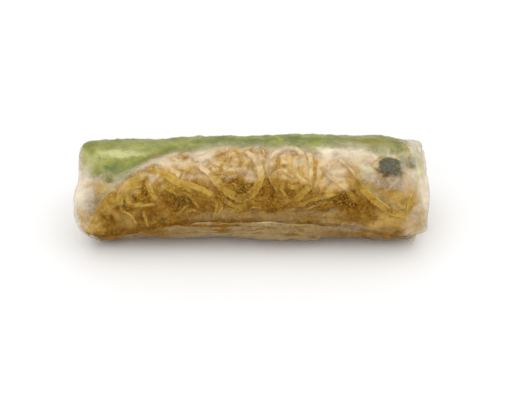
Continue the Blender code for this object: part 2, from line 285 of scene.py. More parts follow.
def read_outline():
    """The outline's points and outward normals on the grid, smooth and without the sheet's step."""
    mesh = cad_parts["rice_paper"].data
    corners = [[c / MM for c in vertex.co] for vertex in mesh.vertices]
    tree = BVHTree.FromPolygons(corners, [list(face.vertices) for face in mesh.polygons])
    s, angle = ROW_S, COLUMN_ANGLE
    origin, way = ray(s, angle)
    reach = 60.0
    radius = np.empty(way.shape[:2])
    for i, j in np.ndindex(radius.shape):
        start = Vector(origin[i, j] + way[i, j] * reach)
        hit = tree.ray_cast(start, Vector(-way[i, j]))
        radius[i, j] = reach - hit[3] if hit[0] else np.nan

    turned = wrapped(angle)
    edge = sheet_end(s) - 360
    under = (turned > edge) & (turned < STEP_TO)
    radius += np.where(under, CAD_STEP * (1 - rise(STEP_FROM, STEP_TO, turned)), 0)
    radius[np.abs(turned - edge) < EDGE_GAP] = np.nan

    rows = np.abs(s[:, 0]) < S_END - POLE_GAP
    for i in np.flatnonzero(rows):
        good = np.isfinite(radius[i])
        radius[i] = np.interp(angle[0], angle[0, good], radius[i, good], period=360)
    for side in (-1, 1):
        cap = np.flatnonzero((s[:, 0] * side > 0) & ~rows)
        rim = cap[0] - 1 if side > 0 else cap[-1] + 1
        face = (radius[rim] * np.abs(way[rim, :, 0])).mean()
        radius[cap] = face / np.abs(way[cap, :, 0])
    radius = blurred(blurred(radius, 1.6, 1, True), 1.2, 0, False)
    lumps = np.interp(s, *np.array(TOP_LUMPS).T) * bell(turned - 110, 40)
    radius += blurred(lumps, 5, 0, False)
    radius += sum(height * patch(s, angle, *where) for *where, height in BULGES)
    radius = np.where(way[..., 2] < 0, np.minimum(radius, AXIS_Z / np.maximum(-way[..., 2], 1e-6)), radius)

    points = origin + way * radius[..., None]
    along = np.gradient(points, axis=0)
    around = np.roll(points, -1, 1) - np.roll(points, 1, 1)
    normals = np.cross(around, along)
    normals *= np.sign((normals * way).sum(-1, keepdims=True))
    normals[0], normals[-1] = (-1, 0, 0), (1, 0, 0)
    return points, unit(normals)


OUTLINE, NORMALS = read_outline()


def sampled(field, s, angle):
    """A grid field's value at any places on the roll."""
    row = np.clip((s + S_END) / (2 * S_END) * ALONG, 0, ALONG - 1e-6)
    column = (angle % 360) / 360 * ROUND
    i, j = row.astype(int), column.astype(int) % ROUND
    u, v = row - i, column - np.floor(column)
    if field.ndim == 3:
        u, v = u[..., None], v[..., None]
    next_j = (j + 1) % ROUND
    low = mixed(field[i, j], field[i, next_j], v)
    high = mixed(field[i + 1, j], field[i + 1, next_j], v)
    return mixed(low, high, u)


def at(s, angle, depth=0.0):
    """The points under places on the roll, at a depth."""
    s, angle, depth = np.broadcast_arrays(s, angle, depth)
    return sampled(OUTLINE, s, angle) - sampled(NORMALS, s, angle) * depth[..., None]


def read_line(pairs, value, period=None):
    """A line through pairs of numbers, read at a value, with rounded corners."""
    first, second = np.array(pairs, float).T
    reach = 2.0
    steps = np.linspace(-reach, reach, 5)
    return sum(np.interp(value + step, first, second, period=period) for step in steps) / len(steps)


# Meshes.


def grid_faces(rows, columns, wrap=False, start=0):
    """The quads of a grid of points, facing outwards for rows along +s and columns round the roll."""
    index = np.arange(rows * columns).reshape(rows, columns) + start
    after = np.roll(index, -1, 1)
    quads = np.stack([index[:-1], after[:-1], after[1:], index[1:]], -1)
    return (quads if wrap else quads[:, :-1]).reshape(-1, 4).tolist()


def joined(shapes):
    """One shape from several, each given as points, faces and the points' values."""
    points, faces, values, count = [], [], {}, 0
    for own_points, own_faces, own_values in shapes:
        points.append(own_points)
        faces += [[v + count for v in face] for face in own_faces]
        count += len(own_points)
        for key, numbers in own_values.items():
            values.setdefault(key, []).append(numbers)
    return np.concatenate(points), faces, {key: np.concatenate(parts) for key, parts in values.items()}


def add_piece(name, points, faces, values, material, slot, node):
    """A smooth mesh from points in millimetres, which rides on the roll and stands for a CAD node."""
    mesh = bpy.data.meshes.new(name)
    mesh.from_pydata((points * MM).tolist(), [], faces)
    for key, numbers in values.items():
        layer = mesh.attributes.new(key, "FLOAT", "POINT")
        layer.data.foreach_set("value", np.asarray(numbers, np.float32).ravel())
    shape = bmesh.new()
    shape.from_mesh(mesh)
    bmesh.ops.remove_doubles(shape, verts=shape.verts, dist=0.002 * MM)
    bmesh.ops.dissolve_degenerate(shape, edges=shape.edges, dist=0.001 * MM)
    shape.to_mesh(mesh)
    shape.free()
    mesh.shade_smooth()
    mesh.materials.append(material)
    piece = bpy.data.objects.new(name, mesh)
    bpy.context.scene.collection.objects.link(piece)
    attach(piece, "root")
    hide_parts(node)


def slab(top, bottom):
    """The points and faces of a closed slab between two grids of points."""
    rows, columns = top.shape[:2]
    count = rows * columns
    index = np.arange(count).reshape(rows, columns)
    rim = np.concatenate([index[0, :-1], index[:-1, -1], index[-1, :0:-1], index[:0:-1, 0]]).tolist()
    faces = grid_faces(rows, columns)
    faces += [face[::-1] for face in grid_faces(rows, columns, start=count)]
    faces += [[b, a, a + count, b + count] for a, b in zip(rim, rim[1:] + rim[:1])]
    return np.concatenate([top.reshape(-1, 3), bottom.reshape(-1, 3)]), faces


# Materials.


class Nodes:
    """Short names for making the nodes of one material."""

    def __init__(self, name):
        self.material = bpy.data.materials.new(name)
        self.material.use_nodes = True
        self.tree = self.material.node_tree
        self.shader = self.tree.nodes["Principled BSDF"]

    def add(self, kind, inputs=None, **settings):
        """A node, with its settings, and with its inputs set or linked."""
        node = self.tree.nodes.new(kind)
        for key, value in settings.items():
            setattr(node, key, value)
        self.feed(node, inputs or {})
        return node

    def feed(self, node, inputs):
        """Sets or links a node's inputs."""
        for key, value in inputs.items():
            if isinstance(value, bpy.types.NodeSocket):
                self.tree.links.new(value, node.inputs[key])
            else:
                node.inputs[key].default_value = value

    def attribute(self, name):
        """The value that the mesh holds under a name."""
        return self.add("ShaderNodeAttribute", attribute_name=name).outputs["Fac"]

    def noise(self, size, detail, roughness):
        """Noise of 0 to 1, with features of a size in millimetres."""
        place = self.add("ShaderNodeTexCoord").outputs["Object"]
        inputs = {"Vector": place, "Scale": 1 / (size * MM), "Detail": detail, "Roughness": roughness}
        return self.add("ShaderNodeTexNoise", inputs).outputs["Fac"]

    def math(self, operation, a, b, c=0, clamp=False):
        """One step of arithmetic with two or three values."""
        inputs = {0: a, 1: b, 2: c}
        return self.add("ShaderNodeMath", inputs, operation=operation, use_clamp=clamp).outputs[0]

    def times(self, a, b, plus=0, clamp=False):
        """a times b, plus a third value."""
        return self.math("MULTIPLY_ADD", a, b, plus, clamp)

    def spread(self, value, low, high, to_low=0, to_high=1):
        """A value taken smoothly from one range to another."""
        inputs = {"Value": value, "From Min": low, "From Max": high, "To Min": to_low, "To Max": to_high}
        return self.add("ShaderNodeMapRange", inputs, interpolation_type="SMOOTHSTEP").outputs[0]

    def mix(self, share, low, high):
        """A colour between two."""
        low, high = ((*c, 1) if isinstance(c, tuple) else c for c in (low, high))
        node = self.add("ShaderNodeMix", data_type="RGBA")
        self.feed(node, {"Factor": share, 6: low, 7: high})
        return node.outputs[2]

    def blend(self, colour, other, value, low, high, most=1):
        """A colour that turns into another, up to a share, while a value goes from low to high."""
        return self.mix(self.spread(value, low, high, 0, most), colour, other)

    def bump(self, height, distance, strength):
        """The normal of a height of 0 to 1, for a distance in millimetres."""
        inputs = {"Height": height, "Distance": distance * MM, "Strength": strength}
        return self.add("ShaderNodeBump", inputs).outputs["Normal"]

    def surface(self, colour, normal, rough, shine=0.5, **others):
        """Feeds the shader, and returns the material."""
        inputs = {"Base Color": colour, "Normal": normal, "Roughness": rough, "Specular IOR Level": shine}
        self.feed(self.shader, {**inputs, **others})
        return self.material


def film_material():
    """Wet rice paper: clear where it clings, milky where it lies loose or in layers, finely grained.

    Its tint runs from -1, tan, over 0, cream, to 1, greyish green.
    """
    n = Nodes("wet_rice_paper")
    milk, tint = n.attribute("milk"), n.attribute("tint")
    grain, cloud = n.noise(0.8, 3, 0.65), n.noise(4, 3, 0.55)
    speck = n.math("ADD", n.spread(grain, 0.3, 0.7), -0.5)
    speck = n.times(speck, n.spread(milk, 0.2, 0.45, 0.5, 0.1), 1)
    drift = n.times(n.spread(cloud, 0.3, 0.7), 0.3, 0.85)
    cover = n.times(n.times(milk, speck), drift, clamp=True)
    cover = n.times(n.spread(grain, 0.5, 0.7), 0.08, cover)
    facing = n.add("ShaderNodeLayerWeight", {"Blend": 0.5}).outputs["Facing"]
    edge = n.math("POWER", facing, 4)
    milky = n.blend((0.92, 0.8, 0.6), (0.68, 0.64, 0.37), tint, 0, 1)
    milky = n.blend(milky, (0.57, 0.4, 0.16), tint, 0, -1)
    clear = n.blend((0.55, 0.32, 0.04), (0.5, 0.53, 0.2), tint, 0, 1)
    colour = n.blend(clear, milky, milk, 0.05, 0.25)
    colour = n.mix(edge, colour, (0.26, 0.22, 0.13))
    alpha = n.times(edge, 0.55, n.times(cover, 0.88, 0.02), clamp=True)
    return n.surface(colour, n.bump(grain, 0.06, 0.3), 0.34, 0.12, Alpha=alpha, IOR=1.45)


def noodle_material():
    """Translucent amber noodles, gravy crumbs, painted highlights on the rims, haze and painted sheen on
    top.
    """
    n = Nodes("amber_noodle")
    rim, tone, frost = n.attribute("rim"), n.attribute("tone"), n.attribute("frost")
    streak, crumb, blotch = n.noise(1.6, 2, 0.5), n.noise(0.7, 2, 0.6), n.noise(4, 2, 0.5)
    body = n.mix(tone, (0.26, 0.095, 0.004), (0.72, 0.47, 0.09))
    body = n.blend(body, (0.32, 0.135, 0.008), blotch, 0.42, 0.62, 0.6)
    body = n.blend(body, (0.84, 0.6, 0.17), blotch, 0.46, 0.34, 0.35)
    # Painted highlight: the rims take a golden colour, brighter than the body of most noodles, for the
    # light in their edges.
    edge = n.mix(tone, (0.5, 0.31, 0.045), (0.66, 0.42, 0.06))
    outline = n.spread(rim, 0.45, 0.9)
    border = n.times(outline, n.spread(n.noise(2.2, 3, 0.6), 0.35, 0.6, 0.3, 1))
    colour = n.mix(border, body, edge)
    colour = n.blend(colour, (0.82, 0.55, 0.1), n.times(tone, 0.05, crumb), 0.54, 0.7, 0.4)
    # The pale veil is milky haze with painted sheen of the light from above, thinner on the rims.
    bare = n.times(outline, -0.4, 1)
    veil = n.times(n.times(frost, bare), n.spread(blotch, 0.4, 0.64, 0.85, 0.5))
    colour = n.mix(veil, colour, (0.85, 0.67, 0.42))
    colour = n.blend(colour, (0.74, 0.5, 0.14), crumb, 0.56, 0.68, 0.5)
    clear = n.times(n.spread(streak, 0.3, 0.7), 0.25, n.times(tone, 0.2, 0.25))
    alpha = n.math("MAXIMUM", n.times(border, 0.4, clear), veil, clamp=True)
    soft = n.spread(rim, 1, n.times(frost, -0.15, 0.52))
    alpha = n.times(alpha, n.times(n.attribute("fade"), soft))
    return n.surface(colour, n.bump(streak, 0.06, 0.3), 0.35, 0.05, Alpha=alpha)


def mince_material():
    """Moist brown mince, from amber gravy to dark brown crumbs, with golden ones between."""
    n = Nodes("brown_mince")
    coarse, fine, crumb = n.noise(2, 4, 0.65), n.noise(0.8, 3, 0.6), n.noise(0.6, 2, 0.6)
    tone = n.attribute("tone")
    colour = n.blend((0.12, 0.042, 0.003), (0.28, 0.12, 0.009), coarse, 0.36, 0.64)
    colour = n.blend(colour, (0.6, 0.4, 0.12), tone, 0, 1)
    colour = n.blend(colour, (0.075, 0.027, 0.002), tone, 0, -1)
    colour = n.blend(colour, (0.45, 0.225, 0.022), fine, 0.5, 0.7, 0.6)
    bits = n.times(n.spread(crumb, 0.56, 0.68, 0, 0.8), n.attribute("bits"))
    colour = n.mix(bits, colour, (0.66, 0.41, 0.06))
    # Paler over the upper side and the ends: milky haze and cream, with painted sheen on the upper side.
    cloud = n.times(n.spread(n.noise(3.4, 3, 0.6), 0.36, 0.56), n.spread(fine, 0.4, 0.62, 1, 0.65))
    colour = n.mix(n.times(n.attribute("frost"), cloud), colour, (0.92, 0.74, 0.5))
    return n.surface(colour, n.bump(fine, 0.35, 0.8), 0.45, 0.05)


def lettuce_material():
    """Soft green leaf, pale where it is thin and dark in its folds; its blistered hollows get painted
    shade.
    """
    n = Nodes("lettuce_leaf")
    mottle, vein = n.noise(4, 2, 0.5), n.noise(1.4, 3, 0.6)
    green = n.blend((0.22, 0.235, 0.035), (0.38, 0.38, 0.085), mottle, 0.3, 0.7)
    shade = n.times(n.spread(vein, 0.25, 0.75), 0.25, n.math("ADD", n.attribute("shade"), -0.12))
    colour = n.blend(green, (0.68, 0.66, 0.34), shade, 0, 1)
    colour = n.blend(colour, (0.115, 0.15, 0.065), shade, 0, -1)
    return n.surface(colour, n.bump(vein, 0.25, 0.6), 0.45, 0.05, Alpha=n.attribute("cover"))


def mushroom_material():
    """Nearly black, wet mushroom skin."""
    n = Nodes("black_mushroom_skin")
    fine = n.noise(1.1, 3, 0.6)
    colour = n.blend((0.012, 0.011, 0.009), (0.046, 0.04, 0.032), fine, 0.3, 0.75)
    colour = n.blend(colour, (0.32, 0.3, 0.25), n.noise(0.8, 2, 0.6), 0.56, 0.7, 0.45)
    return n.surface(colour, n.bump(fine, 0.3, 0.7), 0.35, Alpha=n.attribute("cover"))


# The fillings.


def patches(kind, s, angle):
    """The sum of all the patches of a kind, with edges that wander."""
    place = at(s, angle)
    s = s + 1.6 * noise_at(place, 4.0, 21, 3)
    angle = angle + 5.0 * noise_at(place, 4.0, 22, 3)
    return sum(strength * patch(s, angle, *where) for *where, strength in kind)


def near_line(s, angle, route, width):
    """How close places are to a line of (s, angle) points, from 0 to 1, over a width."""
    nearest = np.full(s.shape, 99.0)
    for (s0, a0), (s1, a1) in zip(route, route[1:]):
        along, around = s1 - s0, (a1 - a0) * DEGREE
        away, off = s - s0, wrapped(angle - a0) * DEGREE
        share = np.clip((away * along + off * around) / (along**2 + around**2), 0, 1)
        nearest = np.minimum(nearest, np.hypot(away - share * along, off - share * around))
    return bell(nearest, width)


def haze_and_sheen(s, angle, place):
    """How pale things look, from 0 to 1, as milky haze and painted sheen: 1 above the line, which wanders.
    """
    above = angle + 6 * noise_at(place, 5.0, 15) - read_line(HAZE_SHEEN_LINE, s)
    return rise(-8, 8, above)


def end_cream(s, angle):
    """How creamy the sheet is over the roll's ends, from 0 to 1."""
    turned = wrapped(angle, -40)
    beyond = np.maximum(read_line(LEFT_CREAM, turned, 360) - s, s - read_line(RIGHT_CREAM, turned, 360))
    return rise(-3.5, 3.0, beyond + 1.5 * noise_at(at(s, angle), 6.0, 16))


def winding(angle):
    """How far under the outline the sheet's first turn lies."""
    turned = wrapped(angle, SHEET_START)
    started = 1 - rise(STEP_FROM, STEP_TO, turned)
    return LAYER * np.where(turned > 200, rise(228, 258, turned), started)


def mince_core():
    """The mince: the whole inside of the roll, lumpy, highest at the lower front and lower back."""
    s, angle = GRID_S, GRID_ANGLE
    turned = wrapped(angle)
    leaf_edge = read_line(LEAF_FRONT, s)
    under_leaf = rise(leaf_edge - 8, leaf_edge + 4, angle) * (1 - rise(188, 206, angle))
    window = rise(4, 30, turned) * (angle < 200)
    lumps = 1 - noise_at(OUTLINE, 3.0, 1, 4)
    leaf_room = LEAF_THICK * np.where(angle < 230, under_leaf, 0)
    depth = winding(angle) + 0.3 + 0.45 * window + leaf_room + 0.35 * lumps
    points = at(s, angle, depth)
    inset = rise(SPINE + 3, SPINE + END_RUN + 2, np.abs(s))
    ragged = 1.5 * noise_at(OUTLINE * (0, 1, 1), 7.0, 19)
    left = mixed(1.5, 4.0, rise(2, 45, turned)) + ragged
    right = mixed(2.5, 4.0, rise(10, 50, turned)) + ragged
    points[..., 0] += inset * np.where(s < 0, left, -right)
    tone = 0.25 * noise_at(OUTLINE, 6.0, 12) + patches(TONES, s, angle)
    # Painted shade: the mince turns darker over the underside.
    tone -= 0.35 * rise(-30, -58, turned) * (angle > 200)
    # Painted shadow: a dark band on the mince just above the sheet's free edge, where the edge's step
    # would cast shade.
    above_edge = turned - (sheet_end(s) - 360)
    tone -= 0.5 * bell(above_edge - 2.5, 2.0)
    # Above the line the mince turns paler and more golden: milky haze with painted sheen of the light from
    # above.
    upper = haze_and_sheen(s, turned, OUTLINE) * (turned < 150)
    # The left end gets half the cream, as painted shade.
    cream = end_cream(s, angle) * np.where(s < 0, 0.5, 1) * (1 - 0.6 * end_face(s))
    bits = 0.2 + 0.8 * rise(6, 22, turned) * (turned < 150)
    bits *= 1 - patch(s, angle, *NO_BITS)
    values = {"tone": tone + 0.6 * upper + 0.6 * cream, "bits": bits,
              "frost": np.maximum(0.6 * upper, 0.65 * cream)}
    return points.reshape(-1, 3), grid_faces(*s.shape, wrap=True), values


def strand(route, width, depth, tone, frost, seed, sides=16, step=0.55):
    """A flat noodle along a route, which sinks and fades at its ends: its points, faces and values."""
    stops = np.array(route, float)
    stops[:, 1] *= DEGREE
    held = np.vstack([2 * stops[0] - stops[1], stops, 2 * stops[-1] - stops[-2]])
    line = []
    for a, b, c, d in zip(held, held[1:], held[2:], held[3:]):
        count = max(2, int(np.hypot(*(c - b)) / step))
        t = (np.arange(count) / count)[:, None]
        line.append(0.5 * (2 * b + (c - a) * t + (2 * a - 5 * b + 4 * c - d) * t**2
                           + (3 * b - a - 3 * c + d) * t**3))
    line = np.vstack(line + [stops[-1:]])
    s, angle = line[:, 0], line[:, 1] / DEGREE
    run = np.append(0, np.cumsum(np.hypot(*np.diff(line, axis=0).T)))
    to_end = np.minimum(run, run[-1] - run)
    fade = rise(0, min(3.0, 0.4 * run[-1]), to_end)
    wave, swell = (np.array([noise.noise(Vector((rate * place, seed, lane))) for place in run])
                   for rate, lane in ((0.4, 0.5), (0.6, 8.5)))
    centre = at(s, angle, winding(angle) + depth + 0.2 * wave + 0.4 * (1 - fade))
    normal = sampled(NORMALS, s, angle)
    across = unit(np.cross(unit(np.gradient(centre, axis=0)), normal))
    end = np.sqrt(np.clip(1 - (1 - to_end / (0.4 * width)).clip(0) ** 2, 0.02, 1))
    half = width / 2 * (1 + 0.3 * swell) * end
    turn = np.arange(sides) * math.tau / sides
    ring = (across[:, None] * np.cos(turn)[None, :, None] * half[:, None, None]
            + normal[:, None] * np.sin(turn)[None, :, None] * (THICK / 2 * end)[:, None, None])
    points = centre[:, None] + ring
    points = points + across[:, None] * (0.16 * noise_at(points, 1.3, 23))[..., None]
    faces = grid_faces(len(s), sides, wrap=True)
    faces += [list(range(sides))[::-1], [(len(s) - 1) * sides + k for k in range(sides)]]
    points = points.reshape(-1, 3)
    values = {"rim": np.tile(np.abs(np.cos(turn)), len(s)), "fade": np.repeat(fade, sides),
              "tone": tone + np.repeat(0.5 * patches(TONES, s, angle).clip(-1, 0.5), sides),
              "frost": frost * haze_and_sheen(np.repeat(s, sides), np.repeat(angle, sides), points)}
    return points, faces, values


# Each noodle that shows: its width, its middle's depth, its tone from dark to golden, how pale it gets
# above as milky haze and painted sheen, and its route as (s, angle) points.
NOODLES = [
    (3.6, 0.6, 0.9, 0, [(-47.5, 10), (-46.5, 20), (-45, 31), (-42.5, 40), (-39, 48), (-36, 52),
     (-32.5, 52), (-29, 48), (-26, 42), (-22.5, 37), (-19, 32)]),
    (3, 0.85, 0.45, 0.2, [(-31, 41), (-27.5, 36), (-24.5, 32), (-21.5, 29), (-18.5, 21)]),
    (1, 0.45, 1, 0, [(-32, 36), (-29, 32), (-26, 27), (-23, 28), (-20.5, 22), (-18.5, 12)]),
    (2.4, 0.6, 0.9, 0, [(-37, 48), (-36, 38), (-35, 29), (-33.5, 21), (-32.5, 15)]),
    (1.4, 0.6, 0.8, 0, [(-40, 40), (-42.5, 34), (-43.5, 27), (-43, 17), (-41, 13), (-37.5, 14),
     (-33.5, 15), (-31.5, 17)]),
    (1.3, 0.4, 0.85, 0, [(-47, 12), (-45.5, 7), (-43, 3), (-41.5, -4), (-40.5, -15)]),
    (1.5, 0.4, 0.85, 0, [(-38.5, 10), (-37.5, -1), (-37, -11), (-37, -19)]),
    (4.2, 0.9, 0.8, 0, [(-57.5, -18), (-55, 0), (-52, 12), (-49.5, 21), (-46.5, 27)]),
    (4.6, 1, 0.65, 0, [(-55, -22), (-53, -5), (-51, 6), (-48, 15)]),
    (3.5, 0.9, 0.45, 0, [(-54.5, -33), (-52.5, -18), (-50.5, -9), (-49, -2)]),
    (3.2, 0.85, 0.45, 0, [(-10.5, 1), (-8, 4), (-5, 1), (-2, 2), (1.5, 4), (5, 4), (8, 7)]),
    (2.8, 0.9, 0.35, 0, [(5.5, -1), (8.5, 3), (12, 5), (16, 1), (19, -2), (23.5, -5)]),
    (2.4, 0.8, 0.5, 0, [(-23, 3), (-20.5, 7), (-18, 3), (-15.5, -2)]),
    (2.4, 0.9, 0.4, 0, [(-20, -3), (-16.5, 1), (-14, -3), (-10.5, -4)]),
    (2.4, 0.9, 0.4, 0, [(19.5, -1), (23.5, 3), (27.5, 1), (30.5, 4), (34, -1), (36.5, -6)]),
    (2.2, 0.85, 0.5, 0, [(23.5, -9), (27.5, -7), (31.5, -9), (35.5, -12), (39, -10)]),
    (2.4, 0.9, 0.5, 0, [(37.5, 4), (40.5, -1), (43, -9), (46.5, -12)]),
    (3.2, 0.9, 0.7, 0, [(45, 1), (48, -3), (51.5, -7), (53.5, -6)]),
    (2, 0.75, 0.4, 0, [(-32.5, -3), (-30, 2), (-27.5, 9)]),
    (2, 0.75, 0.45, 0, [(-28.5, -2), (-25.5, 3), (-22, 6), (-18.5, 4)]),
    (3.6, 0.75, 1, 0, [(-56, 35), (-53.5, 35), (-51.5, 31), (-50.5, 25)]),
    (2.6, 0.5, 0.8, 0.4, [(-28, 61), (-24, 60), (-20, 55), (-17, 49)]),
    (2.6, 0.5, 0.7, 0.7, [(-1, 48), (-2, 58), (-1, 68), (1, 76)]),
    (2.8, 0.8, 0.9, 0, [(-56.5, 40), (-53.5, 39), (-51.5, 34), (-50.5, 27)]),
    (0.8, 0.6, 0.8, 0, [(-28, -1), (-25.5, 5), (-23, 12), (-21, 15)]),
    (1.3, 0.7, 0.1, 0, [(-36.5, 7), (-34, 4), (-31, 9), (-28, 17)]),
    (2.4, 0.5, 1, 0, [(-24.5, 44), (-23, 40), (-19.5, 36), (-16.5, 32), (-13.5, 27), (-12, 22)]),
    (1, 0.5, 0.8, 0, [(-23.5, 31), (-21.5, 25), (-20, 18), (-18, 11), (-16.5, 7)]),
    (3, 0.95, 0.5, 0, [(-23, 32), (-20, 25), (-18, 19), (-15.5, 15)]),
    (3.8, 0.5, 0.8, 1, [(-20, 66), (-16.5, 75), (-13.5, 82), (-10, 87), (-6.5, 93)]),
    (3.4, 0.55, 0.85, 1, [(-20, 70), (-17.5, 60), (-15, 53), (-13, 45), (-10.5, 37), (-9, 32),
     (-6.5, 27), (-4.5, 23), (-2.5, 23), (-0.5, 26), (1.5, 32), (2.5, 37), (3.5, 44), (3.5, 54), (3, 62),
     (1.5, 71), (-0.5, 80), (-3, 89)]),
    (1.9, 0.65, 0.65, 0, [(-10.5, 24), (-8, 18), (-5, 13), (-2, 15), (0.5, 20)]),
    (1.4, 0.7, 0.55, 0, [(-10, 14), (-7, 9), (-4, 8), (-1, 13)]),
    (1.1, 0.35, 0.8, 0, [(-6.5, 95), (-5, 85), (-3.5, 73), (-2, 62), (-0.5, 56)]),
    (1.2, 0.4, 0.4, 0, [(-0.5, 79), (0.5, 90), (2.5, 95), (5, 92), (6, 81), (5.5, 69), (4.5, 60)]),
    (0.8, 0.3, 0.9, 0.8, [(3, 93), (4.5, 84), (5, 73)]),
    (3, 0.5, 0.8, 1, [(9, 57), (8, 66), (8.5, 77), (10.5, 86), (13, 90), (15.5, 88), (17.5, 82),
     (19, 72)]),
    (2.8, 0.5, 0.85, 1, [(20, 85), (21, 74), (21.5, 62), (21.5, 51), (21, 40), (20, 34), (18.5, 29),
     (16.5, 23), (14.5, 16)]),
    (2.4, 0.6, 0.45, 0.8, [(5, 76), (5.5, 62), (6.5, 51), (8.5, 40), (10, 31), (12, 22)]),
    (1.6, 0.55, 1, 0, [(11, 48), (11.5, 40), (11, 33), (12, 27), (10.5, 22)]),
    (1.8, 0.6, 0.95, 0, [(12, 40), (14, 36), (16.5, 36), (19, 39)]),
    (1.3, 0.5, 0.6, 0.5, [(9.5, 54), (12, 53), (14.5, 48), (16.5, 42)]),
    (1.8, 0.6, 0.9, 0, [(11, 71), (9.5, 65), (9, 56)]),
    (1.2, 0.55, 0.6, 0, [(-0.5, 74), (0.5, 62), (1, 54)]),
    (1.5, 0.6, 0.7, 0, [(-9, 73), (-10.5, 62), (-11, 51), (-10.5, 42)]),
    (1.1, 0.5, 0.8, 0.2, [(-6, 82), (-8, 70), (-8.5, 59)]),
    (1.3, 0.6, 0.5, 0.4, [(-5, 60), (-4, 50), (-2.5, 44), (-1, 39)]),
    (0.9, 0.6, 0.9, 0, [(-7.5, 36), (-6, 40), (-5, 34), (-3.5, 31)]),
    (0.9, 0.55, 0.8, 0, [(-0.5, 6), (0.5, 12), (2, 13), (4, 11), (4, 6)]),
    (1.2, 0.5, 0.75, 0, [(-13.5, 24), (-12, 18), (-12, 11), (-13, 3), (-14.5, -2)]),
    (1.6, 0.55, 0.7, 0, [(-12, 22), (-10.5, 15), (-11, 7), (-12.5, 0), (-13.5, -4)]),
    (1.6, 0.55, 0.8, 0, [(15.5, 13), (18.5, 16), (20, 19), (24.5, 23), (28.5, 27), (32.5, 31)]),
    (1.1, 0.6, 0.65, 0, [(17.5, 7), (19.5, 10), (23.5, 15), (27, 18), (30, 21)]),
    (0.9, 0.6, 0.45, 0, [(15, 4), (18, 4), (21.5, 7), (24.5, 11)]),
    (1.8, 0.45, 0.65, 0, [(21, 95), (22.5, 82), (23, 69), (22.5, 56), (22.5, 46), (21.5, 38), (21, 32)]),
    (1.6, 0.4, 1, 0.8, [(25.5, 54), (29, 44), (32, 37), (34.5, 31), (36.5, 23), (38, 17)]),
    (3.4, 0.9, 0.25, 0, [(33, 53), (35.5, 44), (38, 35), (39.5, 27), (40, 18)]),
    (0.7, 0.25, 1, 0.6, [(30.5, 77), (32.5, 71), (34.5, 61), (36, 52), (38, 44), (40, 36), (42, 30),
     (45, 22), (48, 15), (51.5, 8), (54, 6), (55, 11), (55.5, 20), (56.5, 27), (58, 31)]),
    (2.4, 0.45, 0.8, 0, [(37.5, 40), (40, 32), (42.5, 24), (45, 17), (48, 11), (50.5, 5), (53, 2),
     (55, 5), (55.5, 12), (56, 20), (57, 26)]),
    (0.6, 0.4, 0.9, 0, [(40, 25), (43.5, 18), (46, 11), (49.5, 4), (52, 0), (54.5, -1), (56, 5),
     (57, 13), (56, 18)]),
    (1.7, 0.5, 0.8, 1, [(30.5, 76), (33, 66), (35.5, 56), (37.5, 46)]),
    (1.3, 0.55, 0.55, 0, [(33.5, 32), (35, 25), (36.5, 18)]),
    (1, 0.6, 0.2, 0, [(42, 13), (43, 4), (44, -4), (44, -12)]),
    (2.6, 0.7, 0.8, 0, [(-44, 29), (-42, 34), (-39.5, 38), (-37, 40)]),
    (1.6, 0.6, 0.95, 0, [(-44, 30), (-44, 23), (-42.5, 16), (-40, 15), (-36.5, 16)]),
    (2.2, 0.7, 0.6, 0.2, [(-31, 38), (-28.5, 33), (-25.5, 32), (-22.5, 30), (-20, 21), (-19, 12)]),
]

# Where noodles wander at random: how many, from which s to which, from which angle to which, their
# middle's depth, and how pale they get at most, as milky haze and painted sheen.
WANDERING = [
    (40, (-46, 40), (24, 84), 1.15, 0.5),
    (14, (-52, 54), (-18, 22), 0.95, 0.0),
    (44, (-50, 50), (205, 300), 0.7, 0.0),
]
STRIDE = 2.6  # between the points of such a route


def wandering_routes(count, s_range, angle_range, seed):
    """Seeded noodle routes that wander over a stretch of the roll, each with its random picks."""
    pick = random.Random(seed)
    for _ in range(count):
        s, angle = pick.uniform(*s_range), pick.uniform(*angle_range)
        heading, bend = pick.uniform(0, math.tau), pick.uniform(-0.35, 0.35)
        route = []
        for _ in range(pick.randint(5, 10)):
            route.append((s, angle))
            s = np.clip(s + STRIDE * math.cos(heading), *s_range)
            angle = np.clip(angle + STRIDE / DEGREE * math.sin(heading), *angle_range)
            heading += bend + pick.uniform(-0.25, 0.25)
        kept = [route[0]]
        kept += [b for a, b in zip(route, route[1:]) if math.dist(a, b) > 1]
        if len(kept) > 2:
            yield kept, pick


def noodle_strands():
    """All the noodles: those listed, and wandering ones deeper down and at the back."""
    strands = [strand(route, *looks, k) for k, (*looks, route) in enumerate(NOODLES)]
    for number, (count, s_range, angle_range, depth, frost) in enumerate(WANDERING):
        for route, pick in wandering_routes(count, s_range, angle_range, 31 + number):
            strands.append(strand(route, pick.uniform(1.2, 2.4), depth + pick.uniform(-0.1, 0.3),
                                  pick.uniform(0.1, 0.8), frost * pick.random(), number, 10, 0.8))
    return joined(strands)


def leaf_veins(s, angle):
    """How close places are to the leaf's veins, from 0 to 1: one long rib with branches to both sides."""
    pick = random.Random(8)
    rib = [(-64, 160), (-42, 151), (-18, 157), (6, 149), (30, 156), (60, 150)]
    close = near_line(s, angle, rib, 1.0)
    for k in range(32):
        start, side = -60 + 3.5 * k, (-1, 1)[k % 2]
        middle = np.interp(start, *np.array(rib).T)
        reach, slant = pick.uniform(36, 46), pick.uniform(6, 11)
        branch = [(start, middle), (start + 0.3 * slant, middle + 0.4 * side * reach),
                  (start + slant, middle + side * reach)]
        close = np.maximum(close, 0.7 * near_line(s, angle, branch, 0.5))
    return close


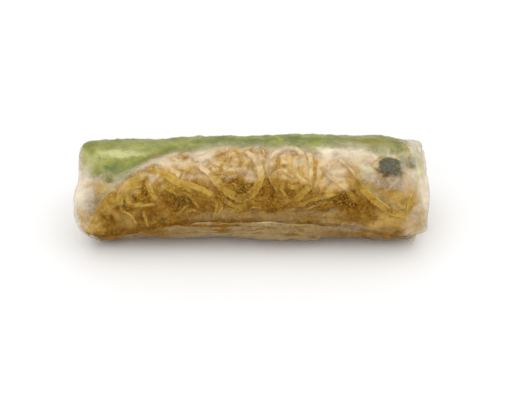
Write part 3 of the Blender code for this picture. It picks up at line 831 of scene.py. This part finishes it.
def lettuce_leaf():
    """The leaf along the top and back: a ruffled, veined slab with a curled border."""
    share_s = np.linspace(0, 1, 230)[:, None]
    share_a = np.linspace(0, 1, 110)[None, :]
    s = mixed(-64.0, 58.0, share_s) + 0 * share_a
    front, back = read_line(LEAF_FRONT, s), read_line(LEAF_BACK, s)
    angle = mixed(front, back, share_a)
    place = at(s, angle)
    ruffle = noise_at(place, 7.0, 3, 3)
    border = np.minimum(np.minimum(150 * share_s, 70 * (1 - share_s)),
                        np.minimum(share_a, 1 - share_a) * (back - front) * DEGREE)
    curl = bell(border, 1.2)
    veins = leaf_veins(s, angle)
    blister = np.abs(noise_at(place, 5.0, 26)) * rise(116, 134, angle)
    depth = winding(angle) + 0.2 - 0.3 * ruffle + 0.6 * curl + 0.5 * blister - 0.25 * veins
    points, faces = slab(at(s, angle, depth), at(s, angle, depth + LEAF_THICK))
    shade = 0.25 * noise_at(place, 8.0, 6) + patches(LEAF_SHADES, s, angle)
    shade -= 0.45 * rise(98, 110, angle) * (1 - 0.5 * rise(115, 130, angle))
    # Paler along the veins, and darker in the blisters' hollows as painted shade.
    shade += 0.8 * veins - 0.9 * blister
    cover = rise(-0.3, 4.5, border + 0.9 * noise_at(place, 2.5, 18))
    return points, faces, {"shade": np.tile(shade.ravel(), 2), "cover": np.tile(cover.ravel(), 2)}


def mushroom_flake():
    """The dark mushroom: a lumpy flake at its CAD solid's place, and a fainter shred beside it."""
    low, high = (np.array(corner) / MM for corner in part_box("black_mushroom"))
    shape = bmesh.new()
    bmesh.ops.create_icosphere(shape, subdivisions=5, radius=1)
    points = np.array([vertex.co for vertex in shape.verts])
    faces = [[v.index for v in face.verts] for face in shape.faces]
    shape.free()
    lumps = 1 + 0.12 * noise_at(points, 0.8, 7) + 0.1 * noise_at(points, 0.2, 8)
    placed = points * lumps[:, None]
    cover = rise(0.05, 0.8, points[:, 2] + 0.2 * noise_at(points, 0.3, 25))
    flakes = []
    for away, at_angle, half_length, half_width, thick, most in FLAKES:
        s = (low[0] + high[0]) / 2 + away + placed[:, 0] * (half_length + 0.7 * placed[:, 1])
        angle = at_angle + placed[:, 1] * half_width / DEGREE
        depth = winding(angle) + 0.85 - thick * placed[:, 2] + 0.35 * placed[:, 0] ** 2
        flakes.append((at(s, angle, depth), faces, {"cover": most * cover}))
    return joined(flakes)


# The draped layers.


def depth_to(shapes):
    """How deep the first of the shapes under each place of the grid lies, seen from outside it."""
    points, faces, _ = joined([(*shape[:2], {}) for shape in shapes])
    tree = BVHTree.FromPolygons(points.tolist(), faces)
    found = np.full(GRID_S.shape, DEEPEST)
    start = OUTLINE + NORMALS * PROUD
    for i, j in np.ndindex(found.shape):
        hit = tree.ray_cast(Vector(start[i, j]), Vector(-NORMALS[i, j]), DEEPEST + PROUD)
        if hit[0]:
            found[i, j] = hit[3] - PROUD
    return found


def draped(least, things, most):
    """The depth of a layer that clings to things, and sags between them, from a least depth down."""
    floor = np.minimum(things - 0.05, least + most)
    least = np.minimum(least, floor)
    depth = least.copy()
    for _ in range(ROUNDS):
        rows = np.pad(depth, ((1, 1), (0, 0)), mode="edge")
        mean = (rows[2:] + rows[:-2] + np.roll(depth, 1, 1) + np.roll(depth, -1, 1)) / 4
        depth = np.clip(mean + PUSH, least, floor)
    return depth


def sheet_tint(s, angle):
    """The sheet's tint: greyish green over the leaf, and as its patches say."""
    front, back = read_line(LEAF_FRONT, s), read_line(LEAF_BACK, s)
    over = rise(front - 6, front + 4, angle) * (1 - rise(back - 4, back + 6, angle))
    over *= 1 - rise(54, 60, np.abs(s))
    return np.clip(0.9 * over + patches(TINTS, s, angle), -1, 1)


def fold_line(line):
    """A fold's end, as an s for each angle of the grid's columns."""
    return read_line(line, wrapped(COLUMN_ANGLE, -30), 360)


def fan(s, angle):
    """Smooth noise that runs over the roll's ends towards their middles."""
    turn = np.radians(angle)
    return noise_at(12 * np.stack([0.03 * s, np.cos(turn), np.sin(turn)], -1), 5.0, 24)


def end_face(s):
    """1 between the rim and the middle of an end face, and 0 at both."""
    return rise(62, 69, np.abs(s)) * (1 - rise(75, S_END, np.abs(s)))


def pleats(s, angle):
    """The depth of the soft pleats that run over the roll's ends."""
    wave = fan(s, angle)
    return 0.3 * rise(52, 66, np.abs(s)) * wave + 0.9 * end_face(s) * (np.abs(wave) ** 0.7 - 0.3)


def back_creases(s, angle):
    """How close places are to the fine creases over the sheet's back, from 0 to 1."""
    pick = random.Random(6)
    close = np.zeros(s.shape)
    for _ in range(BACK_CREASES):
        from_s, at_angle, run = pick.uniform(-58, 40), pick.uniform(128, 325), pick.uniform(12, 40)
        slants = np.cumsum([0, pick.uniform(-9, 9), pick.uniform(-9, 9)])
        route = [(from_s + run * share, at_angle + slant) for share, slant in zip((0, 0.5, 1), slants)]
        close = np.maximum(close, near_line(s, angle, route, pick.uniform(0.3, 0.7)))
    return close * (angle > 100)


def side_fold(name, line, side, fold_depth, things, film):
    """One of the sheet's folded-in sides: a layer from the end of the roll to a slanting hem."""
    end = fold_line(line)
    share = np.linspace(0, 1, 120)[:, None]
    s = mixed(side * S_END, end, share)
    angle = COLUMN_ANGLE + 0 * s
    depth = sampled(fold_depth, s, angle)
    gap = sampled(things, s, angle) - depth
    inwards = np.abs(s - end)
    milk = 0.07 + 0.16 * rise(0.2, 1.4, gap)
    low = 1 - 0.8 * rise(70, 95, angle) * (angle < 300)
    low *= 0.3 + 0.7 * rise(10, 28, angle) if side < 0 else 0.3
    milk += (0.3 * (1 - rise(1.8, 4.4, inwards)) + 0.1 * bell(inwards, 0.5)) * low
    milk += 0.18 * end_cream(s, angle) * (1 - 0.7 * end_face(s))
    tint = np.maximum(sheet_tint(s, angle), 0.7 * (inwards < 5) * (angle < 200))
    points = at(s, angle, depth + pleats(s, angle))
    faces = grid_faces(len(s), ROUND, wrap=True)
    if side > 0:
        faces = [face[::-1] for face in faces]
    add_piece(name, points.reshape(-1, 3), faces, {"milk": milk, "tint": tint}, film,
              "rice_paper", "rice_paper")


def wound_sheet(least, under, film):
    """The sheet's one and a quarter turns round everything, fine at the front and coarse elsewhere."""
    turns = np.concatenate([np.arange(SHEET_START, -40, 2.5), np.arange(-40, 125, 1.1),
                            np.arange(125, 300, 2.5), np.linspace(300, SHEET_END, 60)])[None, :]
    s = ROW_S + 0 * turns
    waver = 1.6 * noise_at(np.stack([s, 0 * s, 0 * s], -1), 9.0, 17, 3)
    angle = turns + (sheet_end(s) + waver - SHEET_END) * rise(230, SHEET_END, turns)
    before_end = sheet_end(s) + waver - angle
    most = 0.9 - 0.85 * rise(50, 60, np.abs(GRID_S))
    depth = sampled(draped(least, under, most), s, angle)
    gap = sampled(under, s, angle) - depth
    second = rise(228, 262, angle)
    depth -= (LAYER - 0.07) * second
    place = at(s, angle)
    wrinkle = 1 - np.abs(noise_at(place * (0.13, 1, 1), 3.0, 9))
    depth -= 0.28 * second * wrinkle
    tip = np.exp(-np.abs((s - TIP_S) / TIP_WIDTH) ** 1.3)
    depth -= TIP_OUT * tip * (1 - rise(0, 8, before_end)) * second
    milk = 0.04 + 0.16 * rise(0.25, 1.3, gap) + patches(MILKY_AND_SHEEN, s, angle)
    milk += 0.3 * end_cream(s, angle) * (1 - 0.5 * end_face(s))
    milk += 0.3 * end_face(s) * bell(fan(s, angle), 0.16)
    seam = second * (1 - 0.85 * rise(20, 36, np.abs(s)))
    tint = sheet_tint(s, angle) * (1 - second) - 0.8 * second * (1 - rise(54, 62, np.abs(s)))
    # Painted shade and highlight: the seam band is less milky along its wrinkle lines and milkier along
    # the free edge's step.
    band = 0.38 - 0.32 * rise(0.78, 0.97, wrinkle) + 0.12 * (1 - rise(0, 4, before_end))
    milk += seam * band * (0.5 + 0.5 * rise(308, 325, angle))
    from_leaf = angle - read_line(LEAF_FRONT, s)
    milk += 0.28 * bell(from_leaf - 2, 8) * rise(-34, -22, s) * (1 - rise(38, 46, s))
    for width, whiteness, route in CREASES:
        close = near_line(s, angle, route, width) * (angle < 260)
        milk += whiteness * close
        depth -= 0.2 * close
    close = back_creases(s, angle)
    cloudy = rise(0.0, 0.7, noise_at(place, 9.0, 27)) * rise(125, 140, angle)
    milk += 0.22 * close + 0.1 * cloudy
    points = at(s, angle, depth - 0.15 * close + pleats(s, angle))
    points[..., 2] = np.maximum(points[..., 2], 0.02)
    add_piece("wound_sheet", points.reshape(-1, 3), grid_faces(*s.shape), {"milk": milk, "tint": tint},
              film, "rice_paper", "rice_paper")


def build():
    """All the pieces."""
    mince, noodles, leaf, mushroom = mince_core(), noodle_strands(), lettuce_leaf(), mushroom_flake()
    add_piece("mince", *mince, mince_material(), "minced_filling", "minced_filling")
    add_piece("noodle_strands", *noodles, noodle_material(), "noodles", "noodles")
    add_piece("lettuce_leaf", *leaf, lettuce_material(), "lettuce", "lettuce")
    add_piece("mushroom_flake", *mushroom, mushroom_material(), "black_mushroom", "black_mushroom")

    film = film_material()
    things = depth_to([mince, noodles, leaf, mushroom])
    least = winding(GRID_ANGLE)
    fold_depth = draped(least + 0.2, things, 1.2)
    under = things.copy()
    for name, line, side in (("left_fold", LEFT_FOLD, -1), ("right_fold", RIGHT_FOLD, 1)):
        beyond = (GRID_S - fold_line(line)) * side
        hem = np.exp(-((beyond / 2.6) ** 4))
        under = np.where(beyond > 0, np.minimum(under, fold_depth - 0.1 - 0.15 * hem), under)
        side_fold(name, line, side, fold_depth, things, film)
    wound_sheet(least, under, film)


def put(data, place, way):
    """A light or a camera at a place, looking one way."""
    thing = bpy.data.objects.new(data.name, data)
    thing.location = place
    thing.rotation_euler = way.to_track_quat("-Z", "Y").to_euler()
    bpy.context.scene.collection.objects.link(thing)
    return thing


def stage():
    """The floor, the light and the camera."""
    scene = bpy.context.scene
    bpy.ops.mesh.primitive_plane_add(size=4)
    floor = bpy.context.object
    floor.name = "floor"
    n = Nodes("white_floor")
    n.feed(n.shader, {"Base Color": (0.93, 0.93, 0.93, 1), "Roughness": 0.8})
    floor.data.materials.append(n.material)

    world = bpy.data.worlds.new("studio")
    world.use_nodes = True
    sky = world.node_tree.nodes["Background"].inputs
    sky["Color"].default_value, sky["Strength"].default_value = (1, 1, 1, 1), 0.68
    scene.world = world

    for name, place, size, power in (("top_light", (0.02, 0.02, 0.75), 0.9, 3.4),
                                     ("front_light", (-0.5, -0.7, 0.6), 0.5, 0.9)):
        data = bpy.data.lights.new(name, "AREA")
        data.size, data.energy = size, power
        put(data, place, Vector((0, 0, 0.01)) - Vector(place))

    data = bpy.data.cameras.new("camera")
    data.lens, data.sensor_width = 100, 36
    elevation, distance = math.radians(38), 0.52
    back = Vector((0, -math.cos(elevation), math.sin(elevation)))
    up = Vector((0, math.sin(elevation), math.cos(elevation)))
    aim = Vector((0.0019, 0, AXIS_Z * MM)) - up * 0.0054
    scene.camera = put(data, aim + back * distance, -back)
    scene.view_settings.view_transform = "Standard"
    scene.cycles.transparent_max_bounces = 24


build()
stage()
